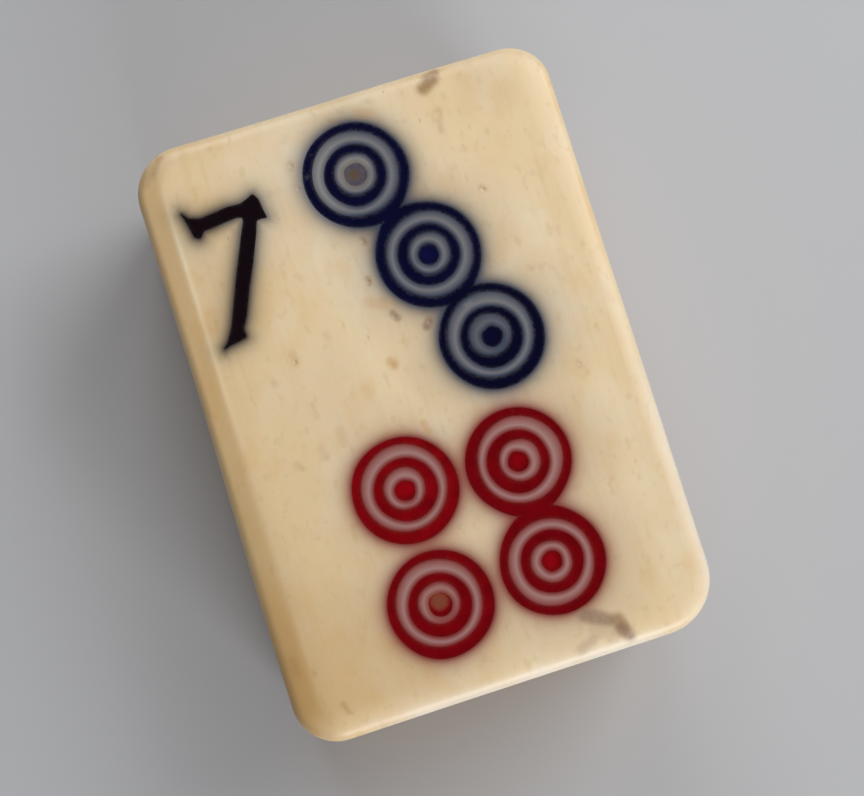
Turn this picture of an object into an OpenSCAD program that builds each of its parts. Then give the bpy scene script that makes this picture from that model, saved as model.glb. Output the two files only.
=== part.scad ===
// A mahjong tile, the seven of dots: a bone face dovetailed and glued to a bamboo back,
// with engraved rings and a numeral that are filled with paint.
// The tile lies on its back. +Z leaves the face, +Y is the top of the face, and the origin
// is the centre of the back.

/* [Tile] */
// Width of the tile
tile_w = 20.6; // [18.5:0.1:26]
// Length of the tile
tile_l = 29; // [26.5:0.1:36]
// Thickness of the tile, bone, glue and bamboo together
tile_t = 12.7; // [10:0.1:18]
// Radius of the four upright corners
corner_r = 2.4; // [1.6:0.1:4]

/* [Edges] */
// Width of the bevel round the face
bevel_w = 1.1; // [0.4:0.1:1.4]
// Drop of that bevel from the face to the walls
bevel_drop = 0.7; // [0.3:0.1:1.5]
// Radius of the round edge of the back
back_r = 1.2; // [0.5:0.1:1.5]

/* [Dovetail] */
// Thickness of the bone at its shoulders, beside the tail
bone_t = 4.5; // [3:0.1:6]
// Width of the tail at its neck
neck_w = 9; // [6:0.1:12]
// Depth of the tail below the shoulders
tail_d = 2; // [1:0.1:3]
// Lean of each flank of the tail from upright, in degrees
tail_flare = 18; // [8:1:25]
// Thickness of the glue between bone and bamboo
glue_t = 0.1; // [0.05:0.01:0.2]

/* [Engraving] */
// Depth of the engraved grooves below the face
groove_d = 0.5; // [0.3:0.05:0.8]
// How far each side of a ring's groove draws in on the way down to its floor
groove_inset = 0.08; // [0.02:0.01:0.12]
// How far the paint lies below the face
paint_sink = 0.06; // [0.02:0.01:0.15]

/* [Dots] */
// Width of the two bare ridges between the rings of a dot
ridge_w = 0.5; // [0.3:0.05:0.6]
// How far two dots that run together overlap
dot_merge = 0.08; // [0.06:0.01:0.3]
// Bare face above the top dot, to the end of the tile
top_margin = 1.5; // [1.5:0.1:2.5]
// Bare height between the blue chain and the red block
block_gap = 0.95; // [0.4:0.05:2]
// Bare face below the right column of the block, to the end of the tile
right_margin = 2.45; // [1.6:0.05:3]
// Bare face below the left column of the block, to the end of the tile
left_margin = 2.2; // [1.6:0.1:3]

/* [Blue chain] */
// Place of the chain's middle across the tile, from the centre line
chain_x = 1.8; // [1:0.05:2.5]
// Lean of the chain's upper leg from upright, in degrees
upper_lean = 25; // [10:1:40]
// Lean of the chain's lower leg from upright, in degrees
lower_lean = 20; // [10:1:40]

/* [Red block] */
// Place of the block's middle across the tile, from the centre line
block_x = 0.4; // [-0.5:0.05:1]
// Bare face between the two columns
column_gap = 0.5; // [0.2:0.05:1]
// Bare face between the two dots of the left column
left_row_gap = 0.55; // [0.2:0.05:1]

/* [Numeral] */
// Height of the numeral
numeral_h = 6.5; // [5:0.1:7]
// Width of the numeral
numeral_w = 3.8; // [3:0.1:4.5]
// Bare face beside the numeral, to the left wall of the tile
numeral_left = 1.85; // [1.6:0.05:2.5]
// Bare face above the numeral, to the top end of the tile
numeral_top = 3.5; // [2:0.1:5]

/* [Hidden] */
$fn = 96;
bone_colour = [0.89, 0.81, 0.66];
bamboo_colour = [0.74, 0.55, 0.30];
glue_colour = [0.55, 0.36, 0.16];
blue = [0.05, 0.06, 0.22];
red = [0.55, 0.02, 0.05];
black = [0.07, 0.05, 0.07];

// Cutters run past what they cut by this much
over = 1;

// The joint's shoulders lie at this height
shoulder_z = tile_t - bone_t;

// The outline's straight stretches lie between the corner centres
corner_x = tile_w / 2 - corner_r;
corner_y = tile_l / 2 - corner_r;

// The dots are as large as fills the face from end to end: down the chain's two legs, across
// the gap and down the block's right column, whose dots run together like the chain's.
pitches_down = cos(upper_lean) + cos(lower_lean) + 1;
bare_height = top_margin + block_gap + right_margin;
dot_r = (tile_l - bare_height + pitches_down * dot_merge) / (2 * pitches_down + 4);
dot_pitch = 2 * dot_r - dot_merge;

// A dot is a spot and two rings of one width, with a ridge inside each ring
ring_w = (dot_r - 2 * ridge_w) / 3;
inner_ring_r = ring_w + ridge_w;

// The chain hangs from the top end
upper_leg = dot_pitch * [sin(upper_lean), -cos(upper_lean)];
lower_leg = dot_pitch * [sin(lower_lean), -cos(lower_lean)];
chain_top = [chain_x - (upper_leg[0] + lower_leg[0]) / 2, tile_l / 2 - top_margin - dot_r];
chain_middle = chain_top + upper_leg;
chain_low = chain_middle + lower_leg;

// The block stands on the lower end
column_pitch = 2 * dot_r + column_gap;
left_x = block_x - column_pitch / 2;
right_x = block_x + column_pitch / 2;
left_low_y = -tile_l / 2 + left_margin + dot_r;
left_high_y = left_low_y + 2 * dot_r + left_row_gap;
right_low_y = -tile_l / 2 + right_margin + dot_r;
right_high_y = right_low_y + dot_pitch;

// The grooves of neighbouring dots run into each other, so their outer rings hold one run of
// paint. A run is its name, its colour and the names and centres of its dots.
blue_run = ["blue", blue, [
    ["blue_top", chain_top],
    ["blue_middle", chain_middle],
    ["blue_low", chain_low],
]];
red_right_run = ["red_right", red, [
    ["red_upper_right", [right_x, right_high_y]],
    ["red_lower_right", [right_x, right_low_y]],
]];
red_upper_left_run = ["red_upper_left", red, [["red_upper_left", [left_x, left_high_y]]]];
red_lower_left_run = ["red_lower_left", red, [["red_lower_left", [left_x, left_low_y]]]];
RUNS = [blue_run, red_right_run, red_upper_left_run, red_lower_left_run];

function run_name(run) = run[0];
function run_colour(run) = run[1];
function run_dots(run) = run[2];
function dot_name(dot) = dot[0];
function dot_centre(dot) = dot[1];
function outer_node(run) = str(run_name(run), "_outer_", len(run_dots(run)) > 1 ? "rings" : "ring");
function inner_node(dot) = str(dot_name(dot), "_inner_ring");
function spot_node(dot) = str(dot_name(dot), "_spot");

// The numeral's outline from the left tip of its bar, clockwise. The bar ends in a spur on the
// left and a peak on the right, and the stem in a slanted foot.
function numeral_outline(w, h) = [
    [0, 0], [0.09 * w, -0.045 * h], [0.26 * w, -0.045 * h], [0.49 * w, -0.015 * h],
    [0.78 * w, -0.03 * h], [0.93 * w, 0],
    [w, -0.19 * h], [0.86 * w, -0.21 * h],
    [0.62 * w, -0.535 * h], [0.38 * w, -0.865 * h], [0.315 * w, -0.965 * h],
    [0.015 * w, -h], [0.145 * w, -0.9 * h],
    [0.37 * w, -0.61 * h], [0.725 * w, -0.13 * h],
    [0.21 * w, -0.153 * h], [0.12 * w, -0.205 * h],
];

// Half of the tile's section from a corner's centre out to the wall: the face with its bevel
// above, the back with its round edge below.
module edge_section() {
    translate([0, back_r]) square([corner_r, tile_t - bevel_drop - back_r]);
    square([corner_r - back_r, tile_t / 2]);
    translate([corner_r - back_r, back_r]) circle(r = back_r);
    polygon([
        [0, tile_t / 2], [corner_r, tile_t / 2], [corner_r, tile_t - bevel_drop],
        [corner_r - bevel_w, tile_t], [0, tile_t],
    ]);
}

// A strip with the edge section, along +Y, its wall towards +X.
module edge_strip(length) {
    rotate([90, 0, 0]) linear_extrude(height = length, center = true) edge_section();
}

// The tile's outer form: a slab with the edge section led along its sides and round its corners.
module tile_form() {
    translate([-corner_x, -corner_y, 0]) cube([2 * corner_x, 2 * corner_y, tile_t]);
    for (side = [0, 180]) {
        rotate(side) translate([corner_x, 0, 0]) edge_strip(2 * corner_y);
        rotate(side + 90) translate([corner_y, 0, 0]) edge_strip(2 * corner_x);
    }
    for (corner = [[1, 1, 0], [-1, 1, 90], [-1, -1, 180], [1, -1, 270]])
        translate([corner[0] * corner_x, corner[1] * corner_y, 0])
            rotate(corner[2]) rotate_extrude(angle = 90) edge_section();
}

// Half width of the tail at a depth below the shoulders, with a skin of that thickness on it.
function flank_x(depth, skin) =
    neck_w / 2 + depth * tan(tail_flare) + skin / cos(tail_flare);

// The underside of the bone across the tile, from left to right, with a skin of glue under it.
function joint_line(skin) = [
    [-tile_w, shoulder_z - skin],
    [-flank_x(skin, skin), shoulder_z - skin],
    [-flank_x(tail_d + skin, skin), shoulder_z - tail_d - skin],
    [flank_x(tail_d + skin, skin), shoulder_z - tail_d - skin],
    [flank_x(skin, skin), shoulder_z - skin],
    [tile_w, shoulder_z - skin],
];

function backwards(list) = [for (i = [len(list) - 1 : -1 : 0]) list[i]];

// The part of the tile's form that lies within an outline across the tile.
module tile_between(outline) {
    intersection() {
        tile_form();
        rotate([90, 0, 0])
            linear_extrude(height = tile_l + 2 * over, center = true) polygon(outline);
    }
}

// How far each side of a groove has drawn in at a depth below the face.
function inset_at(depth) = groove_inset * depth / groove_d;

// What a round groove holds between its floor and a depth below the face. A groove without an
// inner radius is a spot's.
module ring_fill(centre, inner_r, outer_r, depth) {
    inner_share = inner_r > 0 ? 1 : 0;
    translate([centre[0], centre[1], tile_t]) rotate_extrude() polygon([
        [inner_r + inner_share * inset_at(depth), -depth],
        [outer_r - inset_at(depth), -depth],
        [outer_r - inset_at(groove_d), -groove_d],
        [inner_r + inner_share * inset_at(groove_d), -groove_d],
    ]);
}

module outer_ring(dot, depth) {
    ring_fill(dot_centre(dot), dot_r - ring_w, dot_r, depth);
}

module inner_ring(dot, depth) {
    ring_fill(dot_centre(dot), inner_ring_r, inner_ring_r + ring_w, depth);
}

module spot(dot, depth) {
    ring_fill(dot_centre(dot), 0, ring_w, depth);
}

// What the numeral's groove holds between its floor and a depth below the face.
module numeral(depth) {
    translate([-tile_w / 2 + numeral_left, tile_l / 2 - numeral_top, tile_t - groove_d])
        linear_extrude(height = groove_d - depth)
            polygon(numeral_outline(numeral_w, numeral_h));
}

// The bone plate: the face with its engraving, and the dovetail's tail below.
module bone_face() {
    color(bone_colour) difference() {
        tile_between(concat(
            joint_line(0), [[tile_w, tile_t + over], [-tile_w, tile_t + over]]
        ));
        for (run = RUNS) for (dot = run_dots(run)) {
            outer_ring(dot, -over);
            inner_ring(dot, -over);
            spot(dot, -over);
        }
        numeral(-over);
    }
}

// The bamboo back, with the dovetail's channel.
module bamboo_back() {
    color(bamboo_colour)
        tile_between(concat(joint_line(glue_t), [[tile_w, -over], [-tile_w, -over]]));
}

// The glue that fills the joint from wall to wall.
module glue_film() {
    color(glue_colour)
        tile_between(concat(joint_line(0), backwards(joint_line(glue_t))));
}

// The paint in the numeral.
module numeral_paint() {
    color(black) numeral(paint_sink);
}

// The paint in the outer rings of a run of dots.
module outer_rings(run) {
    color(run_colour(run)) for (dot = run_dots(run)) outer_ring(dot, paint_sink);
}

bone_face();
bamboo_back();
glue_film();
numeral_paint();
for (run = RUNS) {
    outer_rings(run);
    for (dot = run_dots(run)) {
        color(run_colour(run)) inner_ring(dot, paint_sink);
        color(run_colour(run)) spot(dot, paint_sink);
    }
}
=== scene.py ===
"""A mahjong tile, the seven of dots: painted bone on a bamboo back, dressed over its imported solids.

Shapes are worked out in millimetres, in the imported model's frame, and turned to metres in each mesh.
"""

import logging
import math
from collections.abc import Callable
from dataclasses import dataclass, field
from enum import Enum

import bmesh
import bpy
import numpy as np
from mathutils import Matrix, Vector
from mathutils.geometry import delaunay_2d_cdt


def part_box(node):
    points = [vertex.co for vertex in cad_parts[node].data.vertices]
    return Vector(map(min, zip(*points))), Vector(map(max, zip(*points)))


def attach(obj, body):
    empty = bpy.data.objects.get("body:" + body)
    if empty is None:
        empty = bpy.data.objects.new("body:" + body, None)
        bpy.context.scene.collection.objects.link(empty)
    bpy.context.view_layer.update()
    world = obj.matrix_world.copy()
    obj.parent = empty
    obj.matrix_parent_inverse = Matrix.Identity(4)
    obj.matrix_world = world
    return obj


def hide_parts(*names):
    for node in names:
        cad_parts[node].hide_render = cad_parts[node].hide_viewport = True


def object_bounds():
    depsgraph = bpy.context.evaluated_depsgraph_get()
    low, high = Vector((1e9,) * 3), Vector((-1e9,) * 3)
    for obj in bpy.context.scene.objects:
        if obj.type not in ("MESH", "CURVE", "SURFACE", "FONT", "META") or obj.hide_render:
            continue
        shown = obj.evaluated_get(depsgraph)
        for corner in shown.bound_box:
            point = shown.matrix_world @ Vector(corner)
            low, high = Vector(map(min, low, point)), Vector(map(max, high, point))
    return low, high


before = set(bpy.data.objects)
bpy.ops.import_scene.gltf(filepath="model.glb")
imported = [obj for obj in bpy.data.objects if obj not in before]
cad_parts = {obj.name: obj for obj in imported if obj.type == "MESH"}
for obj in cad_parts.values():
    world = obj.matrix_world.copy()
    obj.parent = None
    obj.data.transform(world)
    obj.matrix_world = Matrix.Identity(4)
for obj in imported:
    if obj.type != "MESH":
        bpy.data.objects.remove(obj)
CAD_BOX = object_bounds()

# FAR stands for any place well away from the numeral, WELD joins points of a sheet, both in millimetres.
MM = 0.001
TURN = 2 * math.pi
FAR = 9.0
WELD = 1e-5
# RIPPLES is the number of waves in a ripple, and NOISE_SPAN is where most of a noise's values lie.
RIPPLES = 6
NOISE_SPAN = {"From Min": 0.3, "From Max": 0.7}
LOG = logging.getLogger("mahjong_tile")


class Pigment(Enum):
    """The paints in the engraving, by their place in the attribute of pigment bleed and painted light."""

    BLUE = 0
    RED = 1
    BLACK = 2


class Stain(Enum):
    """The kinds of patches in the bone, by their place in the stain attribute."""

    BROWN = 0
    GREY = 1
    RUST = 2
    CHALK = 3


class Cut(Enum):
    """The cuts of one dot, each between two of its edges, counted outwards from 0 at the centre."""

    SPOT = (0, 1)
    INNER = (2, 3)
    OUTER = (4, 5)


# A dot's outermost edge.
OUTSIDE = Cut.OUTER.value[1]


def linear(code: str) -> tuple[float, float, float, float]:
    """Turns an sRGB hex colour to linear light.

    Args:
        code: Six hex digits, with or without a leading #.

    Returns:
        Red, green, blue and an alpha of 1.
    """
    digits = code.lstrip("#")
    channels = [int(digits[i:i + 2], 16) / 255 for i in (0, 2, 4)]
    light = [c / 12.92 if c <= 0.04045 else ((c + 0.055) / 1.055) ** 2.4 for c in channels]
    return (*light, 1.0)


def smooth(low: float, high: float, values: np.ndarray) -> np.ndarray:
    """Rises smoothly from 0 at low to 1 at high."""
    t = np.clip((values - low) / (high - low), 0, 1)
    return t * t * (3 - 2 * t)


def facing(normal: np.ndarray) -> tuple[np.ndarray, np.ndarray, np.ndarray, np.ndarray]:
    """Tells how far directions face each side of the tile.

    Args:
        normal: Directions of length 1 in the plane of the face, one to a row.

    Returns:
        The shares of the right side, the top end, the left side and the lower end, which add up to 1.
    """
    right, top = (np.maximum(normal, 0) ** 2).T
    left, low = (np.maximum(-normal, 0) ** 2).T
    return right, top, left, low


def box_mm(node: str) -> tuple[np.ndarray, np.ndarray]:
    """Gives a CAD node's lowest and highest corners in millimetres."""
    low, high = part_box(node)
    return np.array(low) / MM, np.array(high) / MM


def ripple(points: np.ndarray, seed: int, length: float) -> np.ndarray:
    """Gives a slow wave over the plane, as rubbing by hand leaves it.

    Args:
        points: Points in the plane, one to a row.
        seed: Seed of the wave's directions and phases.
        length: Typical length of a wave.

    Returns:
        A height from -1 to 1 for each point.
    """
    draw = np.random.default_rng(seed)
    total = np.zeros(len(points))
    for _ in range(RIPPLES):
        angle, size, phase = draw.uniform(0, TURN), length * draw.uniform(0.6, 1.6), draw.uniform(0, TURN)
        along = points @ np.array([math.cos(angle), math.sin(angle)])
        total += np.sin(TURN * along / size + phase)
    return total / RIPPLES


@dataclass
class Sheet:
    """Points and closed lines in the plane of the face that are joined into triangles."""

    points: list[np.ndarray] = field(default_factory=list)
    lines: list[tuple[int, int]] = field(default_factory=list)
    count: int = 0

    def add_line(self, line: np.ndarray) -> np.ndarray:
        """Adds a closed line.

        Args:
            line: The line's points in order.

        Returns:
            The numbers of its points.
        """
        ids = self.add_loose(line)
        self.lines.extend(zip(ids.tolist(), np.roll(ids, -1).tolist()))
        return ids

    def add_loose(self, points: np.ndarray) -> np.ndarray:
        """Adds points that no line joins.

        Args:
            points: The points to add.

        Returns:
            The numbers of the points.
        """
        ids = np.arange(self.count, self.count + len(points))
        self.points.append(points)
        self.count += len(points)
        return ids

    def join(self) -> tuple[np.ndarray, np.ndarray, np.ndarray]:
        """Joins everything into triangles within the outermost line.

        Returns:
            The points, the triangles, and for each point that was added its place among the points.
        """
        flat = [Vector(p) for p in np.concatenate(self.points)]
        made = delaunay_2d_cdt(flat, self.lines, [], 1, WELD, True)
        place = np.zeros(self.count, dtype=int)
        for index, sources in enumerate(made[3]):
            place[sources] = index
        return np.array([p[:] for p in made[0]]), np.array([list(f) for f in made[2]]), place


def make_mesh(name: str, points: np.ndarray, faces: list) -> bpy.types.Object:
    """Makes an object in millimetres whose faces all look outwards.

    Args:
        name: The object's name.
        points: The mesh's points, one to a row.
        faces: The point numbers of each face.

    Returns:
        The object, linked to the scene.
    """
    mesh = bpy.data.meshes.new(name)
    mesh.from_pydata(points.tolist(), [], faces)
    work = bmesh.new()
    work.from_mesh(mesh)
    bmesh.ops.recalc_face_normals(work, faces=work.faces)
    work.to_mesh(mesh)
    work.free()
    made = bpy.data.objects.new(name, mesh)
    bpy.context.scene.collection.objects.link(made)
    return made


def points_of(mesh: bpy.types.Mesh) -> np.ndarray:
    """Reads a mesh's points.

    Args:
        mesh: The mesh to read.

    Returns:
        The points, one to a row.
    """
    flat = np.empty(len(mesh.vertices) * 3)
    mesh.vertices.foreach_get("co", flat)
    return flat.reshape(-1, 3)


def store(mesh: bpy.types.Mesh, name: str, values: np.ndarray) -> None:
    """Stores four values for each point, as a colour attribute that a material can read."""
    layer = mesh.attributes.new(name, "FLOAT_COLOR", "POINT")
    layer.data.foreach_set("color", values.ravel())


def settle(piece: bpy.types.Object, node: str, crease: float) -> None:
    """Turns a finished piece to metres, smooths it, and puts it in its node's place.

    Args:
        piece: The piece, still in millimetres.
        node: The CAD node that it stands for.
        crease: The angle in degrees from which an edge stays sharp.
    """
    piece.data.transform(Matrix.Scale(MM, 4))
    piece.data.shade_smooth()
    piece.data.set_sharp_from_angle(angle=math.radians(crease))
    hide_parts(node)
    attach(piece, "root")
    LOG.info("%s stands for %s, %d points", piece.name, node, len(piece.data.vertices))


class NodeSheet:
    """The nodes of a material or of the world, with one way to add to them."""

    def __init__(self, name: str, kind: str = "materials") -> None:
        """Starts a material, or another thing that has nodes, with none in it yet.

        Args:
            name: The name of what is made.
            kind: The collection in Blender's data that it belongs to.
        """
        self.owner = getattr(bpy.data, kind).new(name)
        self.owner.use_nodes = True
        self.tree = self.owner.node_tree
        self.tree.nodes.clear()

    def add(self, kind: str, sockets: dict | None = None, **settings: object) -> bpy.types.Node:
        """Adds a node.

        Args:
            kind: The node's type, without Blender's prefix.
            sockets: For each input by name or number, a constant or the output that feeds it.
            settings: The node's own properties.

        Returns:
            The node.
        """
        node = self.tree.nodes.new("ShaderNode" + kind)
        for key, value in settings.items():
            setattr(node, key, value)
        for key, value in (sockets or {}).items():
            if isinstance(value, bpy.types.NodeSocket):
                self.tree.links.new(value, node.inputs[key])
            else:
                node.inputs[key].default_value = value
        return node

    def layered(self, colour: object, layers: tuple[tuple, ...]) -> bpy.types.NodeSocket:
        """Lays tints over a colour, each where its mask is strong.

        Args:
            colour: The colour below, a constant or an output.
            layers: For each tint its mask, its hex code, the mask's values where it starts and where it is
                full, and its most cover.

        Returns:
            The output that holds the colour with everything over it.
        """
        for mask, tint, low, high, most in layers:
            amount = self.add(
                "MapRange", {"Value": mask, "From Min": low, "From Max": high, "To Max": most},
                interpolation_type="SMOOTHSTEP",
            )
            mixed = self.add("Mix", {0: amount.outputs[0], 6: colour, 7: linear(tint)}, data_type="RGBA")
            colour = mixed.outputs[2]
        return colour


@dataclass(frozen=True)
class BoneFinish:
    """Cow bone, sawn, scraped and rubbed smooth, then handled for decades.

    The eye sees warm ivory with soft lengthwise grain, short dark pores, a low satin gloss and a little
    light from within. Paint and dirt have crept into it next to the cuts, and shade is painted there as
    well, for the light that the paint swallows inside the bone. Shade is also painted on the left side,
    and highlights on rims that face the lamps.
    """

    base: str = "#EAD3AA"
    deep: str = "#E0C598"
    pale: str = "#EFE3C8"
    honey: str = "#E3C189"
    blotch: str = "#C6AC74"
    grain: str = "#CDB07A"
    pore: str = "#A07C48"
    # Brown of age, which is also laid on the left side as painted shade.
    aged_and_shaded: str = "#C09656"
    dust: str = "#827F92"
    # Pale tint of the films on the dots' ridges and of the highlights painted on the rims.
    rubbed: str = "#F3EEE6"
    chalk: str = "#F2EBE0"
    stains: tuple[str, str, str] = ("#96703F", "#8E7059", "#C08C44")
    # Tints of the pigment that has crept in beside the cuts; they also carry the shade painted there.
    bleeds: tuple[str, str, str] = ("#0A2240", "#7C030C", "#140A10")
    roughness: float = 0.38
    ior: float = 1.54
    mottle_mm: tuple[float, float, float] = (6.0, 10.0, 6.0)
    cloud_mm: tuple[float, float, float] = (2.4, 3.8, 2.4)
    honey_mm: tuple[float, float, float] = (1.3, 2.0, 1.3)
    blotch_mm: tuple[float, float, float] = (0.45, 0.7, 0.45)
    grain_mm: tuple[float, float, float] = (0.35, 6.0, 0.35)
    # Real pores are some 0.05 mm wide, too fine to show, so they are drawn up to about 0.2 mm wide.
    pore_mm: tuple[float, float, float] = (0.6, 1.5, 0.6)
    pore_reach: float = 0.16
    pore_rarity: float = 0.8
    crumb_mm: tuple[float, float, float] = (0.25, 0.3, 0.25)
    crumb_least: float = 0.82
    crumb_span: tuple[float, float] = (0.3, 0.6)
    gloss_spread: tuple[float, float] = (0.05, 0.07)
    relief: float = 0.2
    relief_mm: float = 0.02
    light_share: float = 0.35
    light_reach: tuple[float, float, float] = (1.0, 0.55, 0.3)
    light_depth_mm: float = 0.5

    def material(self) -> bpy.types.Material:
        """Builds the material.

        Returns:
            The material.
        """
        sheet = NodeSheet("bone_scraped_and_rubbed_smooth")
        place = sheet.add("TexCoord").outputs["Object"]
        waves = {}
        sizes = (("mottle", self.mottle_mm), ("cloud", self.cloud_mm), ("honey", self.honey_mm),
                 ("blotch", self.blotch_mm), ("grain", self.grain_mm), ("crumb", self.crumb_mm))
        for key, size in sizes:
            spread = sheet.add("Mapping", {"Vector": place, "Scale": [1 / (s * MM) for s in size]})
            wave = sheet.add("TexNoise", {"Vector": spread.outputs[0], "Scale": 1.0, "Detail": 3.0})
            waves[key] = wave.outputs["Fac"]
        spread = sheet.add("Mapping", {"Vector": place, "Scale": [1 / (s * MM) for s in self.pore_mm]})
        cells = sheet.add("TexVoronoi", {"Vector": spread.outputs[0], "Scale": 1.0})
        chance = sheet.add("SeparateColor", {"Color": cells.outputs["Color"]}).outputs["Red"]
        size = sheet.add(
            "MapRange",
            {"Value": chance, "From Min": self.pore_rarity, "From Max": 1.0, "To Max": self.pore_reach},
        )
        pore = sheet.add("Math", {0: size.outputs[0], 1: cells.outputs["Distance"]}, operation="SUBTRACT")
        # For each its mask, tint, where it starts, where it is full, and its most cover.
        layers = (
            (waves["mottle"], self.deep, 0.4, 0.7, 0.6),
            (waves["cloud"], self.pale, 0.45, 0.7, 0.4),
            (waves["honey"], self.honey, 0.5, 0.72, 0.4),
            (waves["blotch"], self.blotch, 0.55, 0.75, 0.3),
            (waves["grain"], self.grain, 0.5, 0.8, 0.18),
            (pore.outputs[0], self.pore, 0.0, 0.08, 0.4),
        )
        colour = sheet.layered(linear(self.base), layers)
        low, high = self.crumb_span
        broken = sheet.add(
            "MapRange",
            {"Value": waves["crumb"], "From Min": low, "From Max": high, "To Min": self.crumb_least},
        )
        # Dust and age with painted shade, pigment bleed with painted shade and highlights, and the stains.
        tones = {
            "wash": (self.dust, self.aged_and_shaded),
            "bleed": (*self.bleeds, self.rubbed),
            "stain": (*self.stains, self.chalk),
        }
        for name, tints in tones.items():
            layer = sheet.add("Attribute", attribute_name=name, attribute_type="GEOMETRY")
            parts = sheet.add("SeparateColor", {"Color": layer.outputs["Color"]})
            for amount, tint in zip((*parts.outputs, layer.outputs["Alpha"]), tints):
                if tint in self.stains:
                    amount = sheet.add(
                        "Math", {0: amount, 1: broken.outputs[0]}, operation="MULTIPLY", use_clamp=True
                    ).outputs[0]
                colour = sheet.add(
                    "Mix", {0: amount, 6: colour, 7: linear(tint)}, data_type="RGBA"
                ).outputs[2]
        smoother, rougher = self.gloss_spread
        gloss = sheet.add(
            "MapRange",
            {"Value": waves["cloud"], **NOISE_SPAN,
             "To Min": self.roughness - smoother, "To Max": self.roughness + rougher},
        )
        bump = sheet.add(
            "Bump", {"Strength": self.relief, "Distance": self.relief_mm * MM, "Height": waves["grain"]}
        )
        shader = sheet.add(
            "BsdfPrincipled",
            {"Base Color": colour, "Roughness": gloss.outputs[0], "IOR": self.ior, "Normal": bump.outputs[0],
             "Subsurface Weight": self.light_share, "Subsurface Radius": self.light_reach,
             "Subsurface Scale": self.light_depth_mm * MM},
        )
        sheet.add("OutputMaterial", {"Surface": shader.outputs[0]})
        return sheet.owner


@dataclass(frozen=True)
class BambooFinish:
    """Bamboo, planed along the stem and polished by hands.

    The eye sees honey tan with fine darker fibre bundles: streaks along the sides and the back, and flecks
    on the ends, which cover more towards the back, once the outside of the stem.
    """

    base: str = "#C2914C"
    pale: str = "#D6AE6B"
    bundle: str = "#7C4C20"
    deep: str = "#A06C30"
    roughness: float = 0.34
    ior: float = 1.5
    bundle_mm: tuple[float, float] = (0.5, 0.85)
    bundle_reach: tuple[float, float] = (0.44, 0.26)
    bundle_spread: float = 0.16
    bundle_least: float = 0.45
    wall_mm: float = 8.0
    sway_mm: tuple[float, float, float] = (0.5, 8.0, 0.5)
    sway: tuple[float, float, float] = (1.1, 0.8, 0.0)
    fibre_mm: tuple[float, float, float] = (0.16, 9.0, 0.16)
    cloud_mm: tuple[float, float, float] = (4.0, 16.0, 4.0)
    gloss_spread: tuple[float, float] = (0.06, 0.1)
    relief: float = 0.3
    relief_mm: float = 0.03

    def material(self) -> bpy.types.Material:
        """Builds the material.

        Returns:
            The material.
        """
        sheet = NodeSheet("bamboo_planed_and_hand_polished")
        place = sheet.add("TexCoord").outputs["Object"]
        waves = {}
        for key, size in (("fibre", self.fibre_mm), ("cloud", self.cloud_mm), ("sway", self.sway_mm)):
            spread = sheet.add("Mapping", {"Vector": place, "Scale": [1 / (s * MM) for s in size]})
            wave = sheet.add("TexNoise", {"Vector": spread.outputs[0], "Scale": 1.0, "Detail": 2.0})
            waves[key] = wave.outputs
        parts = sheet.add("SeparateXYZ", {"Vector": place}).outputs
        wide, high = self.bundle_mm
        section = sheet.add("CombineXYZ", {"X": parts["X"], "Y": parts["Z"]})
        cell = sheet.add(
            "VectorMath", {0: section.outputs[0], 1: (1 / (wide * MM), 1 / (high * MM), 0.0)},
            operation="MULTIPLY",
        )
        bent = sheet.add(
            "VectorMath", {0: waves["sway"]["Color"], 1: self.sway, 2: cell.outputs[0]},
            operation="MULTIPLY_ADD",
        )
        cells = sheet.add("TexVoronoi", {"Vector": bent.outputs[0], "Scale": 1.0}, voronoi_dimensions="2D")
        chance = sheet.add("SeparateColor", {"Color": cells.outputs["Color"]}).outputs
        outer, inner = self.bundle_reach
        size = sheet.add(
            "MapRange", {"Value": parts["Z"], "From Max": self.wall_mm * MM, "To Min": outer, "To Max": inner}
        )
        kind = sheet.add(
            "Math", {0: chance["Red"], 1: self.bundle_spread, 2: cells.outputs["Distance"]},
            operation="MULTIPLY_ADD",
        )
        inside = sheet.add("Math", {0: size.outputs[0], 1: kind.outputs[0]}, operation="SUBTRACT")
        shade = sheet.add("MapRange", {"Value": chance["Green"], "To Min": self.bundle_least})
        bundle = sheet.add("Math", {0: inside.outputs[0], 1: shade.outputs[0]}, operation="MULTIPLY")
        # For each its mask, tint, where it starts, where it is full, and its most cover.
        layers = (
            (waves["cloud"]["Fac"], self.pale, 0.4, 0.7, 0.7),
            (waves["fibre"]["Fac"], self.deep, 0.48, 0.75, 0.55),
            (bundle.outputs[0], self.bundle, -0.04, 0.26, 0.62),
        )
        colour = sheet.layered(linear(self.base), layers)
        smoother, rougher = self.gloss_spread
        gloss = sheet.add(
            "MapRange",
            {"Value": waves["fibre"]["Fac"], **NOISE_SPAN,
             "To Min": self.roughness - smoother, "To Max": self.roughness + rougher},
        )
        height = waves["fibre"]["Fac"]
        bump = sheet.add(
            "Bump", {"Strength": self.relief, "Distance": self.relief_mm * MM, "Height": height}
        )
        shader = sheet.add(
            "BsdfPrincipled",
            {"Base Color": colour, "Roughness": gloss.outputs[0], "IOR": self.ior, "Normal": bump.outputs[0]},
        )
        sheet.add("OutputMaterial", {"Surface": shader.outputs[0]})
        return sheet.owner


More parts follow.
